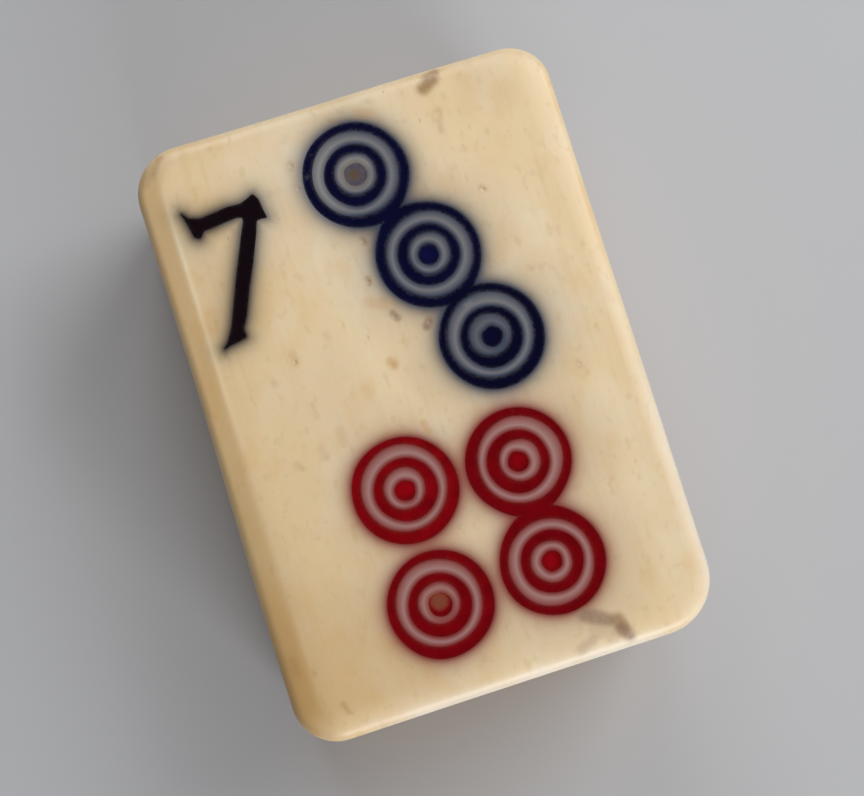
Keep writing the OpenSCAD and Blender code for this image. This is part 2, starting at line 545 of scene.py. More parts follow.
@dataclass(frozen=True)
class GlueFinish:
    """Hide glue, squeezed out and scraped flush.

    The eye sees a thin amber line, darker where dirt has caught along it.
    """

    base: str = "#8A5E2C"
    dirt: str = "#4A3018"
    roughness: float = 0.42
    ior: float = 1.52
    dirt_mm: float = 1.2
    dirt_span: tuple[float, float] = (0.4, 0.65)

    def material(self) -> bpy.types.Material:
        """Builds the material.

        Returns:
            The material.
        """
        sheet = NodeSheet("hide_glue_scraped_flush")
        place = sheet.add("TexCoord").outputs["Object"]
        wave = sheet.add("TexNoise", {"Vector": place, "Scale": 1 / (self.dirt_mm * MM), "Detail": 3.0})
        low, high = self.dirt_span
        amount = sheet.add("MapRange", {"Value": wave.outputs["Fac"], "From Min": low, "From Max": high})
        colour = sheet.add(
            "Mix", {0: amount.outputs[0], 6: linear(self.base), 7: linear(self.dirt)}, data_type="RGBA"
        )
        shader = sheet.add(
            "BsdfPrincipled",
            {"Base Color": colour.outputs[2], "Roughness": self.roughness, "IOR": self.ior},
        )
        sheet.add("OutputMaterial", {"Surface": shader.outputs[0]})
        return sheet.owner


@dataclass(frozen=True)
class PaintFinish:
    """Oil paint, wiped into a cut and dried hollow.

    The eye sees a deep, even colour with a dull skin, lighter in the middle of a cut than along its edges,
    and rubbed away here and there.
    """

    name: str
    base: str
    full: str
    worn: str
    bare: str
    roughness: float = 0.55
    ior: float = 1.48
    sheen: float = 0.03
    streak_mm: float = 0.8
    streak_cover: tuple[float, float] = (0.38, 0.77)
    # Grit in the paint is too fine to show, so its specks are drawn coarser than they are.
    speck_mm: float = 0.12
    speck_share: float = 0.3
    rub_start: float = 0.28
    gloss_spread: tuple[float, float] = (0.06, 0.1)
    relief: float = 0.3
    relief_mm: float = 0.015

    def material(self) -> bpy.types.Material:
        """Builds the material.

        Returns:
            The material.
        """
        sheet = NodeSheet(self.name)
        place = sheet.add("TexCoord").outputs["Object"]
        streak = sheet.add("TexNoise", {"Vector": place, "Scale": 1 / (self.streak_mm * MM), "Detail": 3.0})
        speck = sheet.add("TexNoise", {"Vector": place, "Scale": 1 / (self.speck_mm * MM), "Detail": 2.0})
        layer = sheet.add("Attribute", attribute_name="wear", attribute_type="GEOMETRY")
        parts = sheet.add("SeparateColor", {"Color": layer.outputs["Color"]})
        least, most = self.streak_cover
        uneven = sheet.add(
            "MapRange", {"Value": streak.outputs["Fac"], **NOISE_SPAN, "To Min": least, "To Max": most}
        )
        amount = sheet.add("Math", {0: parts.outputs["Blue"], 1: uneven.outputs[0]}, operation="MULTIPLY")
        colour = sheet.add(
            "Mix", {0: amount.outputs[0], 6: linear(self.base), 7: linear(self.full)}, data_type="RGBA"
        ).outputs[2]
        for channel, tint in (("Red", self.worn), ("Green", self.bare)):
            rubbed = sheet.add(
                "Math", {0: speck.outputs["Fac"], 1: self.speck_share, 2: parts.outputs[channel]},
                operation="MULTIPLY_ADD",
            )
            colour = sheet.layered(colour, ((rubbed.outputs[0], tint, self.rub_start, 1.0, 1.0),))
        smoother, rougher = self.gloss_spread
        gloss = sheet.add(
            "MapRange",
            {"Value": streak.outputs["Fac"], **NOISE_SPAN,
             "To Min": self.roughness - smoother, "To Max": self.roughness + rougher},
        )
        height = streak.outputs["Fac"]
        bump = sheet.add(
            "Bump", {"Strength": self.relief, "Distance": self.relief_mm * MM, "Height": height}
        )
        shader = sheet.add(
            "BsdfPrincipled",
            {"Base Color": colour, "Roughness": gloss.outputs[0], "IOR": self.ior, "Normal": bump.outputs[0],
             "Specular IOR Level": self.sheen},
        )
        sheet.add("OutputMaterial", {"Surface": shader.outputs[0]})
        return sheet.owner


@dataclass(frozen=True)
class EdgeWear:
    """How one stretch of the face's edge is worn: its reach, its fall, and from 0 crisp to 1 round."""

    reach: float
    fall: float
    round: float


@dataclass
class TileForm:
    """The tile's outer form, with the edges as wear has left them."""

    corner_rs: tuple[float, float, float, float] = (2.05, 2.45, 2.15, 2.7)
    back_r: float = 1.2
    side_r: float = 0.45
    left_high: EdgeWear = EdgeWear(1.38, 0.24, 0.06)
    left_low: EdgeWear = EdgeWear(1.4, 0.42, 0.6)
    right_high: EdgeWear = EdgeWear(1.1, 0.18, 0.5)
    right_low: EdgeWear = EdgeWear(0.55, 0.22, 0.9)
    top_end: EdgeWear = EdgeWear(0.7, 0.3, 0.5)
    low_end: EdgeWear = EdgeWear(0.95, 0.42, 0.8)
    border: float = 1.25
    left_border: float = 0.2
    unevenness: float = 0.012
    wobble: float = 0.02
    left_pull: float = 0.15
    top_pull: float = 0.06
    top_left_pull: float = 0.1
    left_pull_span: tuple[float, float] = (-10.0, 5.0)
    top_left_span: tuple[float, float] = (-6.0, 6.0)
    left_change: tuple[float, float] = (-6.0, 2.0)
    right_change: tuple[float, float] = (0.0, 12.0)
    rim_step: float = 0.2

    def __post_init__(self) -> None:
        """Takes the tile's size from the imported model."""
        high = np.array(CAD_BOX[1]) / MM
        self.half = high[:2]
        self.thick = high[2]

    def rim(self) -> tuple[np.ndarray, np.ndarray]:
        """Walks round the outline, from the right side over the top end.

        Returns:
            The outline's points and the directions out of it.
        """
        points, normals = [], []
        signs = ((1, 1), (-1, 1), (-1, -1), (1, -1))
        corners = [(self.half - radius) * sign for radius, sign in zip(self.corner_rs, signs)]
        for quarter, (corner, radius) in enumerate(zip(corners, self.corner_rs)):
            arc = round(radius * TURN / 4 / self.rim_step)
            for step in range(arc + 1):
                angle = (quarter + step / arc) * TURN / 4
                normals.append((math.cos(angle), math.sin(angle)))
                points.append(corner + radius * np.array(normals[-1]))
            following = (quarter + 1) % 4
            end = corners[following] + self.corner_rs[following] * np.array(normals[-1])
            start = points[-1]
            steps = round(np.linalg.norm(end - start) / self.rim_step)
            for step in range(1, steps):
                points.append(start + (end - start) * step / steps)
                normals.append(normals[-1])
        return np.array(points), np.array(normals)

    def inset(self, points: np.ndarray) -> tuple[np.ndarray, np.ndarray]:
        """Measures how far points lie inside the outline.

        Args:
            points: Points in the plane of the face.

        Returns:
            The distances, and the directions out of the outline at its nearest points.
        """
        sign = np.where(points < 0, -1.0, 1.0)
        right, left = np.where(points[:, 1] < 0, np.array([self.corner_rs[3:], self.corner_rs[2:3]]),
                               np.array([self.corner_rs[:1], self.corner_rs[1:2]]))
        radius = np.where(points[:, 0] < 0, left, right)
        past = np.abs(points) - (self.half - radius[:, None])
        corner = (past > 0).all(axis=1)
        axis = np.where((past[:, 0] > past[:, 1])[:, None], (1.0, 0.0), (0.0, 1.0))
        length = np.maximum(np.linalg.norm(past, axis=1), 1e-9)
        normal = np.where(corner[:, None], past / length[:, None], axis) * sign
        depth = np.where(corner, radius - length, radius - past.max(axis=1))
        return depth, normal

    def margin(self, normal: np.ndarray) -> np.ndarray:
        """Gives the width of the worn border for each direction out of the outline."""
        return self.border + self.left_border * facing(normal)[2]

    def within(self, points: np.ndarray) -> np.ndarray:
        """Measures how far points lie inside the worn border."""
        inset, normal = self.inset(points)
        return inset - self.margin(normal)

    def pulled(self, points: np.ndarray, normal: np.ndarray) -> np.ndarray:
        """Gives how far the sawn and rubbed outline lies inside the square one.

        Args:
            points: Points of the square outline.
            normal: The direction out of the outline there.

        Returns:
            The distance for each point.
        """
        _, top, left, _ = facing(normal)
        amount = self.left_pull * left * smooth(*self.left_pull_span, points[:, 1])
        amount += top * (self.top_pull + self.top_left_pull * smooth(*self.top_left_span, -points[:, 0]))
        return amount + self.wobble * (1 + ripple(points, seed=11, length=14.0))

    def height(self, points: np.ndarray, inset: np.ndarray, normal: np.ndarray) -> np.ndarray:
        """Gives the height of the worn face, before any cut.

        Args:
            points: Points in the plane of the face.
            inset: How far each lies inside the outline.
            normal: The direction out of the outline there.

        Returns:
            The height of each point.
        """
        rise = smooth(*self.left_change, points[:, 1])
        taper = smooth(*self.right_change, points[:, 1])
        right, top, left, low = facing(normal)
        shares = (
            (self.left_high, left * rise),
            (self.left_low, left * (1 - rise)),
            (self.right_high, right * taper),
            (self.right_low, right * (1 - taper)),
            (self.top_end, top),
            (self.low_end, low),
        )
        reach = sum(share * wear.reach for wear, share in shares)
        fall = sum(share * wear.fall for wear, share in shares)
        soft = sum(share * wear.round for wear, share in shares)
        slope = 1 - inset / reach
        bend = np.maximum(soft - np.abs(slope), 0) ** 2 / (4 * soft)
        drop = fall * (np.maximum(slope, 0) + bend)
        side = np.clip(self.side_r - inset, 0, self.side_r)
        drop += self.side_r - np.sqrt(self.side_r ** 2 - side ** 2)
        return self.thick - drop - self.unevenness * (1 + ripple(points, seed=3, length=9.0))

    def face_height(self, points: np.ndarray) -> np.ndarray:
        """Gives the height of the worn face over points in its plane, before any cut."""
        return self.height(points, *self.inset(points))


@dataclass
class Dot:
    """One of the seven dots: a spot and two rings, cut with a turned tool.

    Its nudge moves it and its lean sets its bands off centre. Its paint may be vivid or faded at the spot,
    soaked into the ridge round it and full in the cuts. It makes the bone outside dusty, and creeps into it;
    its halo is also painted shade, for the light that the paint swallows inside the bone.
    """

    name: str
    pigment: Pigment
    nudge: tuple[float, float]
    lean: tuple[float, float]
    spot_extra: float = 0.0
    vivid: float = 0.0
    faded: float = 0.0
    soaked: float = 0.0
    full: float = 0.35
    dusty: float = 0.14
    halo_reach: float = 0.95
    bridges: list[tuple[np.ndarray, float, float]] = field(default_factory=list)
    edge_trim: tuple[float, ...] = (-0.02, 0.01, -0.022, 0.068, 0.013)
    out_of_true: float = 0.022
    waver: float = 0.008

    def __post_init__(self) -> None:
        """Takes the dot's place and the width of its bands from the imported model."""
        low, high = box_mm(self.name + "_spot")
        self.cad_centre = (low + high)[:2] / 2
        self.centre = self.cad_centre + np.array(self.nudge)
        self.band = (high - low)[0] / 2
        draw = np.random.default_rng(abs(round(1000 * self.cad_centre[1])))
        # The faults of each edge: five orders of waves, each with a share of its cosine and of its sine.
        self.shape = draw.uniform(-1, 1, (OUTSIDE + 1, 5, 2))

    def radius(self, edge: int, angle: np.ndarray) -> np.ndarray:
        """Gives the radius of one edge, with the small faults of hand work.

        Args:
            edge: The edge, from 1 at the spot to 5 round the outside.
            angle: Directions from the dot's centre.

        Returns:
            The radius in each direction.
        """
        total = edge * self.band + self.edge_trim[edge - 1] + np.zeros_like(angle)
        if edge == 1:
            total = total + self.spot_extra
        side = 0.5 if edge in (2, 4) else -0.5
        total = total + side * (self.lean[0] * np.cos(angle) + self.lean[1] * np.sin(angle))
        for order, (a, b) in enumerate(self.shape[edge], start=1):
            size = self.out_of_true / order if order < 3 else self.waver
            total = total + size * (a * np.cos(order * angle) + b * np.sin(order * angle))
        if edge == OUTSIDE:
            for other, bulge, spread in self.bridges:
                heading = math.atan2(*(other - self.centre)[::-1])
                turn = (angle - heading + math.pi) % TURN - math.pi
                total = total + bulge * np.exp(-(turn / spread) ** 2)
        return total

    def line(self, edge: int, offset: float, count: int) -> np.ndarray:
        """Draws an edge, moved away from the paint.

        Args:
            edge: The edge, from 1 at the spot to 5 round the outside.
            offset: How far it is moved.
            count: The number of its points.

        Returns:
            The points of the closed line.
        """
        angle = np.linspace(0, TURN, count, endpoint=False)
        radius = self.radius(edge, angle) + (offset if edge % 2 else -offset)
        return self.centre + radius[:, None] * np.c_[np.cos(angle), np.sin(angle)]

    def distance(self, points: np.ndarray, cut: Cut) -> np.ndarray:
        """Measures how far points lie outside one cut.

        Args:
            points: Points in the plane of the face.
            cut: The cut.

        Returns:
            The distance of each point, below 0 within the cut.
        """
        inner, outer = cut.value
        gap = self.past(points, outer)
        return np.maximum(gap, -self.past(points, inner)) if inner else gap

    def past(self, points: np.ndarray, edge: int) -> np.ndarray:
        """Measures how far points lie outside one edge."""
        arm = points - self.centre
        return np.linalg.norm(arm, axis=1) - self.radius(edge, np.arctan2(arm[:, 1], arm[:, 0]))


@dataclass
class Numeral:
    """The plain figure seven beside the dots, cut with a knife."""

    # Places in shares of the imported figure's width and height, from its upper left corner.
    outline: tuple[tuple[float, float], ...] = (
        (0.01, 0.015), (0.09, -0.04), (0.22, -0.062), (0.38, -0.052), (0.57, -0.037), (0.74, -0.04),
        (0.83, -0.022), (0.92, 0.004), (0.97, -0.045), (0.985, -0.125), (1.005, -0.192), (0.935, -0.185),
        (0.87, -0.19), (0.82, -0.275), (0.675, -0.475), (0.545, -0.63), (0.405, -0.825), (0.325, -0.908),
        (0.33, -0.97), (0.25, -0.983), (0.12, -0.995), (0.02, -1.012), (0.1, -0.962), (0.19, -0.875),
        (0.33, -0.68), (0.455, -0.505), (0.56, -0.365), (0.65, -0.245), (0.715, -0.168), (0.715, -0.137),
        (0.64, -0.128), (0.485, -0.136), (0.33, -0.148), (0.22, -0.152), (0.15, -0.2), (0.085, -0.18),
        (0.065, -0.115), (0.045, -0.058),
    )
    step: float = 0.05
    easings: int = 3
    reach: float = 1.5
    pigment: Pigment = Pigment.BLACK

    def __post_init__(self) -> None:
        """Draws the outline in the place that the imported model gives, with its points eased."""
        low, high = box_mm("numeral_paint")
        self.low, self.high = low[:2], high[:2]
        corner = np.array([low[0], high[1]])
        marks = corner + np.array(self.outline) * (self.high - self.low)
        line = []
        for start, end in zip(marks, np.roll(marks, -1, axis=0)):
            steps = max(round(np.linalg.norm(end - start) / self.step), 1)
            line.extend(start + (end - start) * step / steps for step in range(steps))
        eased = np.array(line)
        for _ in range(self.easings):
            eased = (np.roll(eased, 1, axis=0) + 2 * eased + np.roll(eased, -1, axis=0)) / 4
        self.points = eased
        along = np.roll(eased, -1, axis=0) - np.roll(eased, 1, axis=0)
        along /= np.linalg.norm(along, axis=1)[:, None]
        self.normals = np.c_[-along[:, 1], along[:, 0]]

    def line(self, offset: float) -> np.ndarray:
        """Draws the outline, moved by an offset away from the paint."""
        return self.points + offset * self.normals

    def distance(self, points: np.ndarray) -> np.ndarray:
        """Measures how far points lie outside the figure.

        Args:
            points: Points in the plane of the face.

        Returns:
            The distance of each point, below 0 within the figure and FAR well away from it.
        """
        result = np.full(len(points), FAR)
        near = ((points > self.low - self.reach) & (points < self.high + self.reach)).all(axis=1)
        if not near.any():
            return result
        spots = points[near][:, None, :]
        start = self.points[None]
        span = np.roll(self.points, -1, axis=0)[None] - start
        share = np.clip(((spots - start) * span).sum(2) / (span ** 2).sum(2), 0, 1)
        gap = np.linalg.norm(spots - start - share[..., None] * span, axis=2).min(axis=1)
        end = start + span
        level = (start[..., 1] > spots[..., 1]) != (end[..., 1] > spots[..., 1])
        rise = np.where(span[..., 1] == 0, 1e-9, span[..., 1])
        cross = start[..., 0] + (spots[..., 1] - start[..., 1]) * span[..., 0] / rise
        odd = (level & (cross > spots[..., 0])).sum(axis=1) % 2 == 1
        result[near] = np.where(odd, -gap, gap)
        return result


@dataclass
class Engraving:
    """Every cut in the face, what the paint has done to the bone beside it, and the shade painted there."""

    depth: float = 0.5
    lip: float = 0.1
    lip_fall: float = 0.008
    wall: float = 0.03
    halo: float = 0.415
    ridge_halo: float = 0.8
    ridge_films: tuple[float, float] = (0.145, 0.195)
    film_reach: tuple[float, float] = (0.04, 0.25)
    halo_power: float = 1.26
    lip_foot: float = 0.015
    dot_rings: tuple[float, ...] = (0.2, 0.32, 0.5)
    dot_ring_points: int = 90
    least_points: int = 24
    more_points: int = 16
    ridge_points: int = 20
    numeral_rings: tuple[float, ...] = (0.2, 0.34)
    clearance: float = 0.8
    rim_clearance: float = 0.08

    def __post_init__(self) -> None:
        """Lays out the dots, tells those that run together, and cuts the numeral."""
        blue, red = Pigment.BLUE, Pigment.RED
        made = (
            Dot("blue_top", blue, (0.01, 0.04), (0.0, 0.05), 0.06, faded=0.6, dusty=0.03, halo_reach=1.15),
            Dot("blue_middle", blue, (0.1, -0.11), (0.05, 0.05), 0.02, vivid=0.1, halo_reach=1.1),
            Dot(
                "blue_low", blue, (0.02, 0.025), (-0.045, 0.1), 0.02,
                vivid=-0.26, soaked=0.6, full=0.2, halo_reach=1.08,
            ),
            Dot("red_upper_left", red, (0.05, -0.03), (-0.015, 0.095), full=0.55, dusty=0.07),
            Dot("red_upper_right", red, (0.01, 0.02), (0.08, 0.035), vivid=-0.12),
            Dot(
                "red_lower_left", red, (-0.01, 0.01), (-0.035, 0.105), 0.07,
                faded=0.2, soaked=0.2, full=0.42, dusty=0.09,
            ),
            Dot("red_lower_right", red, (0.045, 0.025), (-0.05, -0.01)),
        )
        self.dots = {dot.name: dot for dot in made}
        # Each pair that runs together, how far each edge bulges to the other, and over what angle.
        touching = (
            ("blue_top", "blue_middle", 0.18, 0.35),
            ("blue_middle", "blue_low", 0.16, 0.35),
            ("red_upper_right", "red_lower_right", 0.19, 0.5),
        )
        for first, second, bulge, spread in touching:
            self.dots[first].bridges.append((self.dots[second].centre, bulge, spread))
            self.dots[second].bridges.append((self.dots[first].centre, bulge, spread))
        self.numeral = Numeral()

    def distance(self, points: np.ndarray) -> np.ndarray:
        """Measures how far points lie outside the nearest cut.

        Args:
            points: Points in the plane of the face.

        Returns:
            The distance of each point, below 0 within a cut.
        """
        gap = self.numeral.distance(points)
        for dot in self.dots.values():
            for cut in Cut:
                gap = np.minimum(gap, dot.distance(points, cut))
        return gap

    def sunk(self, points: np.ndarray) -> np.ndarray:
        """Gives how far the cuts and their rubbed lips lie below the face.

        Args:
            points: Points in the plane of the face.

        Returns:
            The depth at each point.
        """
        gap = self.distance(points)
        lip = self.lip_fall * np.clip(1 - gap / self.lip, 0, 1) ** 2
        return np.where(gap < 0, lip + (self.depth - lip) * smooth(0, self.wall, -gap), lip)

    def bleed(self, points: np.ndarray) -> np.ndarray:
        """Gives how much of each pigment has crept into the bone, with the shade painted beside the paint for
        the light that it swallows inside the bone.

        Args:
            points: Points in the plane of the face.

        Returns:
            One row of blue, red, black and the pale film on the ridges for each point, from 0 to 1.
        """
        clean = np.ones((len(points), 4))
        for dot in self.dots.values():
            inside = dot.past(points, OUTSIDE) < 0
            # The halo darkens the bone beside the paint: pigment crept into it, and painted shade for the
            # light the paint swallows inside the bone.
            halo = np.where(inside, self.ridge_halo, self.halo * dot.halo_reach)
            gaps = [dot.distance(points, cut) for cut in Cut]
            for cut, gap in zip(Cut, gaps):
                left = 1 - dot.faded if cut is Cut.SPOT else 1.0
                clean[:, dot.pigment.value] *= 1 - left * self.creep_and_shade(gap, halo)
            film = self.ridge_films[dot.pigment.value] * smooth(*self.film_reach, np.min(gaps, axis=0))
            film *= np.where(dot.past(points, Cut.INNER.value[1]) < 0, 1 - dot.soaked, 1.0)
            clean[:, 3] -= np.where(inside, film, 0)
        clean[:, self.numeral.pigment.value] = 1 - self.creep_and_shade(self.numeral.distance(points), self.halo)
        return 1 - clean

    def creep_and_shade(self, gap: np.ndarray, halo: np.ndarray | float) -> np.ndarray:
        """Gives how much pigment is left in the bone at a distance from a cut, within a halo, with its
        painted shade.
        """
        return np.exp(-((np.maximum(gap, 0) / halo) ** self.halo_power))

    def add_to(self, sheet: Sheet, form: TileForm) -> None:
        """Adds the lines of every cut to the face's sheet.

        Args:
            sheet: The sheet of the face.
            form: The tile's form, whose border the points keep clear of.
        """
        offsets = (self.lip, self.lip / 2, self.lip_foot, -self.wall / 2, -self.wall)
        for dot in self.dots.values():
            for edge in range(1, OUTSIDE + 1):
                count = self.least_points + self.more_points * edge
                for offset in offsets:
                    sheet.add_line(dot.line(edge, offset, count))
            for offset in self.dot_rings:
                ring = dot.line(OUTSIDE, offset, self.dot_ring_points)
                clear = self.distance(ring) > offset * self.clearance
                sheet.add_loose(ring[clear & (form.within(ring) > self.rim_clearance)])
            for cut in (Cut.SPOT, Cut.INNER):
                edge = cut.value[1]
                sheet.add_loose(dot.line(edge, dot.band / 2, self.ridge_points * (1 + edge)))
        for offset in offsets:
            sheet.add_line(self.numeral.line(offset))
        for offset in self.numeral_rings:
            ring = self.numeral.line(offset)[::3]
            sheet.add_loose(ring[self.distance(ring) > offset * self.clearance])


@dataclass(frozen=True)
class Pit:
    """A pore or nick in the face."""

    x: float
    y: float
    radius: float
    depth: float


@dataclass(frozen=True)
class Smudge:
    """A streak of dirt in the bone: its kind, its two ends, its half width and its strength."""

    kind: Stain
    start: tuple[float, float]
    end: tuple[float, float]
    wide: float
    strength: float
    ragged: float = 0.2
    ragged_widths: float = 3.0
    fade: tuple[float, float] = (0.2, 1.2)

    def share(self, points: np.ndarray) -> np.ndarray:
        """Gives the streak's strength over the face.

        Args:
            points: Points in the plane of the face.

        Returns:
            The strength at each point.
        """
        start = np.array(self.start)
        span = np.array(self.end) - start
        along = np.clip((points - start) @ span / max(span @ span, 1e-9), 0, 1)
        gap = np.linalg.norm(points - start - along[:, None] * span, axis=1) / self.wide
        gap += self.ragged * ripple(points, seed=7, length=self.ragged_widths * self.wide)
        return self.strength * (1 - smooth(*self.fade, gap))


@dataclass
class TileBody:
    """The bone face, the bamboo back and the glue between them, cut from one worn form."""

    form: TileForm
    engraving: Engraving
    neck_w: float = 9.0
    flare: float = 18.0
    grid: float = 0.26
    fine_grid: float = 0.085
    grid_clear: float = 0.45
    fine_clear: float = 0.14
    border_clear: float = 0.1
    spare: float = 1.0
    border_steps: tuple[float, ...] = (
        0.95, 0.9, 0.85, 0.78, 0.69, 0.59, 0.5, 0.4, 0.34,
        0.28, 0.22, 0.17, 0.12, 0.08, 0.05, 0.025, 0.01, 0.0,
    )
    wall_steps: int = 10
    round_steps: int = 8
    pit_steps: tuple[float, ...] = (0.25, 0.6, 1.0)
    pit_points: int = 12
    pit_clear: float = 1.1
    pit_dirt: float = 0.16
    faint: float = 0.01
    stain_depths: tuple[float, float] = (1.6, 0.8)
    dust_rise: tuple[float, float] = (0.0, 0.5)
    dust_fade: tuple[float, float] = (0.8, 3.2)
    pits: tuple[Pit, ...] = (
        Pit(-2.83, 11.75, 0.14, 0.03), Pit(-2.83, 10.65, 0.12, 0.03), Pit(-0.66, 7.4, 0.14, 0.03),
        Pit(-1.0, 5.52, 0.13, 0.04), Pit(-0.32, 3.6, 0.14, 0.03), Pit(1.15, 2.86, 0.13, 0.03),
        Pit(5.47, 8.1, 0.12, 0.03), Pit(-5.38, 2.9, 0.1, 0.03), Pit(7.3, -1.1, 0.1, 0.02),
    )
    smudges: tuple[Smudge, ...] = (
        Smudge(Stain.BROWN, (4.2, 13.5), (4.75, 13.82), 0.42, 0.92),
        Smudge(Stain.BROWN, (4.5, 13.95), (4.98, 14.1), 0.32, 0.75),
        Smudge(Stain.BROWN, (4.64, 12.3), (4.58, 12.0), 0.2, 0.22),
        Smudge(Stain.BROWN, (4.47, 11.8), (4.44, 11.35), 0.22, 0.25),
        Smudge(Stain.GREY, (3.9, -12.38), (4.95, -12.92), 0.46, 0.78),
        Smudge(Stain.BROWN, (5.3, -12.98), (5.42, -13.5), 0.45, 0.75),
        Smudge(Stain.GREY, (5.3, -13.05), (5.42, -13.5), 0.4, 0.3),
        Smudge(Stain.GREY, (5.4, -13.4), (5.66, -13.95), 0.38, 0.86),
        Smudge(Stain.GREY, (4.3, -13.05), (4.9, -13.5), 0.6, 0.25),
        Smudge(Stain.GREY, (3.3, -13.85), (4.05, -13.45), 0.34, 0.34),
        Smudge(Stain.BROWN, (-8.0, -12.75), (-7.83, -13.25), 0.17, 0.4),
        Smudge(Stain.BROWN, (-8.85, -10.9), (-8.8, -11.1), 0.16, 0.2),
        Smudge(Stain.BROWN, (-9.6, -10.2), (-9.6, -10.8), 0.3, 0.25),
        Smudge(Stain.GREY, (-0.68, 7.5), (-0.62, 7.3), 0.22, 0.55),
        Smudge(Stain.BROWN, (-1.0, 5.65), (-1.0, 5.4), 0.2, 0.6),
        Smudge(Stain.RUST, (-1.25, 4.6), (-0.5, 4.2), 0.42, 0.3),
        Smudge(Stain.GREY, (-0.4, 3.75), (-0.25, 3.5), 0.25, 0.7),
        Smudge(Stain.GREY, (1.2, 2.95), (0.98, 2.7), 0.27, 0.85),
        Smudge(Stain.RUST, (-1.15, 1.6), (-1.03, 1.45), 0.32, 0.5),
        Smudge(Stain.BROWN, (-1.06, 1.5), (-1.03, 1.4), 0.14, 0.12),
        Smudge(Stain.RUST, (-5.45, 3.3), (-5.4, 2.8), 0.28, 0.28),
        Smudge(Stain.BROWN, (-5.36, 2.95), (-5.4, 2.85), 0.12, 0.4),
        Smudge(Stain.BROWN, (-5.25, 0.8), (-5.22, 0.7), 0.16, 0.2),
        Smudge(Stain.BROWN, (-6.6, 2.25), (-6.55, 2.15), 0.25, 0.15),
        Smudge(Stain.RUST, (-3.65, 3.7), (-3.6, 3.55), 0.25, 0.22),
        Smudge(Stain.RUST, (-2.65, 0.75), (-2.55, 0.45), 0.3, 0.2),
        Smudge(Stain.RUST, (-4.35, -0.7), (-4.4, -1.4), 0.3, 0.3),
        Smudge(Stain.BROWN, (-5.45, -1.3), (-5.4, -1.7), 0.3, 0.15),
        Smudge(Stain.BROWN, (-6.75, -1.7), (-6.65, -1.85), 0.25, 0.18),
        Smudge(Stain.RUST, (-0.55, -1.6), (-0.45, -2.0), 0.26, 0.4),
        Smudge(Stain.BROWN, (-2.82, 11.9), (-2.86, 11.65), 0.2, 0.45),
        Smudge(Stain.GREY, (-2.83, 10.75), (-2.85, 10.55), 0.2, 0.35),
        Smudge(Stain.GREY, (-0.5, 13.3), (-0.25, 13.1), 0.16, 0.35),
        Smudge(Stain.RUST, (0.9, 13.25), (1.5, 13.05), 0.35, 0.28),
        Smudge(Stain.BROWN, (5.4, 8.2), (5.55, 8.1), 0.2, 0.35),
        Smudge(Stain.BROWN, (7.25, -0.95), (7.3, -1.25), 0.15, 0.22),
        Smudge(Stain.BROWN, (6.4, 3.95), (6.5, 3.85), 0.18, 0.2),
        Smudge(Stain.BROWN, (-9.15, 13.2), (-8.6, 13.9), 0.22, 0.4),
        Smudge(Stain.BROWN, (-9.6, 12.9), (-9.35, 13.3), 0.3, 0.25),
        Smudge(Stain.RUST, (6.6, 13.1), (7.6, 12.2), 1.2, 0.2),
        Smudge(Stain.RUST, (-8.4, 6.2), (-8.6, 5.6), 0.5, 0.2),
        Smudge(Stain.GREY, (-7.9, 9.0), (-8.2, 5.5), 1.0, 0.1),
        Smudge(Stain.CHALK, (-4.0, 9.0), (-3.4, 12.5), 3.0, 0.16),
        Smudge(Stain.CHALK, (-4.4, 0.4), (-4.2, 2.0), 2.6, 0.1),
    )
    pieces: dict[str, bpy.types.Object] = field(default_factory=dict)

    def __post_init__(self) -> None:
        """Takes the joint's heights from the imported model."""
        glue_low, glue_high = box_mm("glue_film")
        self.shoulder_z = glue_high[2]
        self.tail_z = box_mm("bone_face")[0][2]
        self.glue = self.tail_z - glue_low[2]

    def pitted(self, points: np.ndarray) -> np.ndarray:
        """Gives how far the pits lie below the face.

        Args:
            points: Points in the plane of the face.

        Returns:
            The depth at each point.
        """
        sunk = np.zeros(len(points))
        for pit in self.pits:
            reach = np.linalg.norm(points - np.array([pit.x, pit.y]), axis=1) / pit.radius
            sunk = np.maximum(sunk, pit.depth * (1 - smooth(self.pit_steps[0], 1.0, reach)))
        return sunk

    def stained(self, points: np.ndarray) -> np.ndarray:
        """Gives the strength of each kind of patch.

        Args:
            points: Points in the plane of the face.

        Returns:
            One row for each point, of its brown, grey, rust and chalk.
        """
        amount = np.zeros((len(points), 4))
        for patch in self.smudges:
            amount[:, patch.kind.value] = np.maximum(amount[:, patch.kind.value], patch.share(points))
        brown = Stain.BROWN.value
        amount[:, brown] = np.maximum(amount[:, brown], self.pitted(points) / self.pit_dirt)
        return amount

    def washed(self, points: np.ndarray) -> np.ndarray:
        """Gives how much paint dust lies round the dots, and how far age has browned the bone together with
        the shade painted on its left side.

        Args:
            points: Points in the plane of the face.

        Returns:
            One row for each point, of dust and of age with painted shade from 0 to 1, and two columns of
            nothing.
        """
        amount = np.zeros((len(points), 4))
        for dot in self.engraving.dots.values():
            away = dot.past(points, OUTSIDE)
            dust = dot.dusty * smooth(*self.dust_rise, away) * (1 - smooth(*self.dust_fade, away))
            amount[:, 0] = np.maximum(amount[:, 0], dust)
        inset, out = self.form.inset(points)
        x, y = points.T
        # Each part's strength, and the places in millimetres between which it comes or goes.
        low_part, top_part = smooth(4.0, 10.0, -y), smooth(8.0, 13.0, y)
        rim = 0.05 * (1 - smooth(0.2, 2.4, inset))
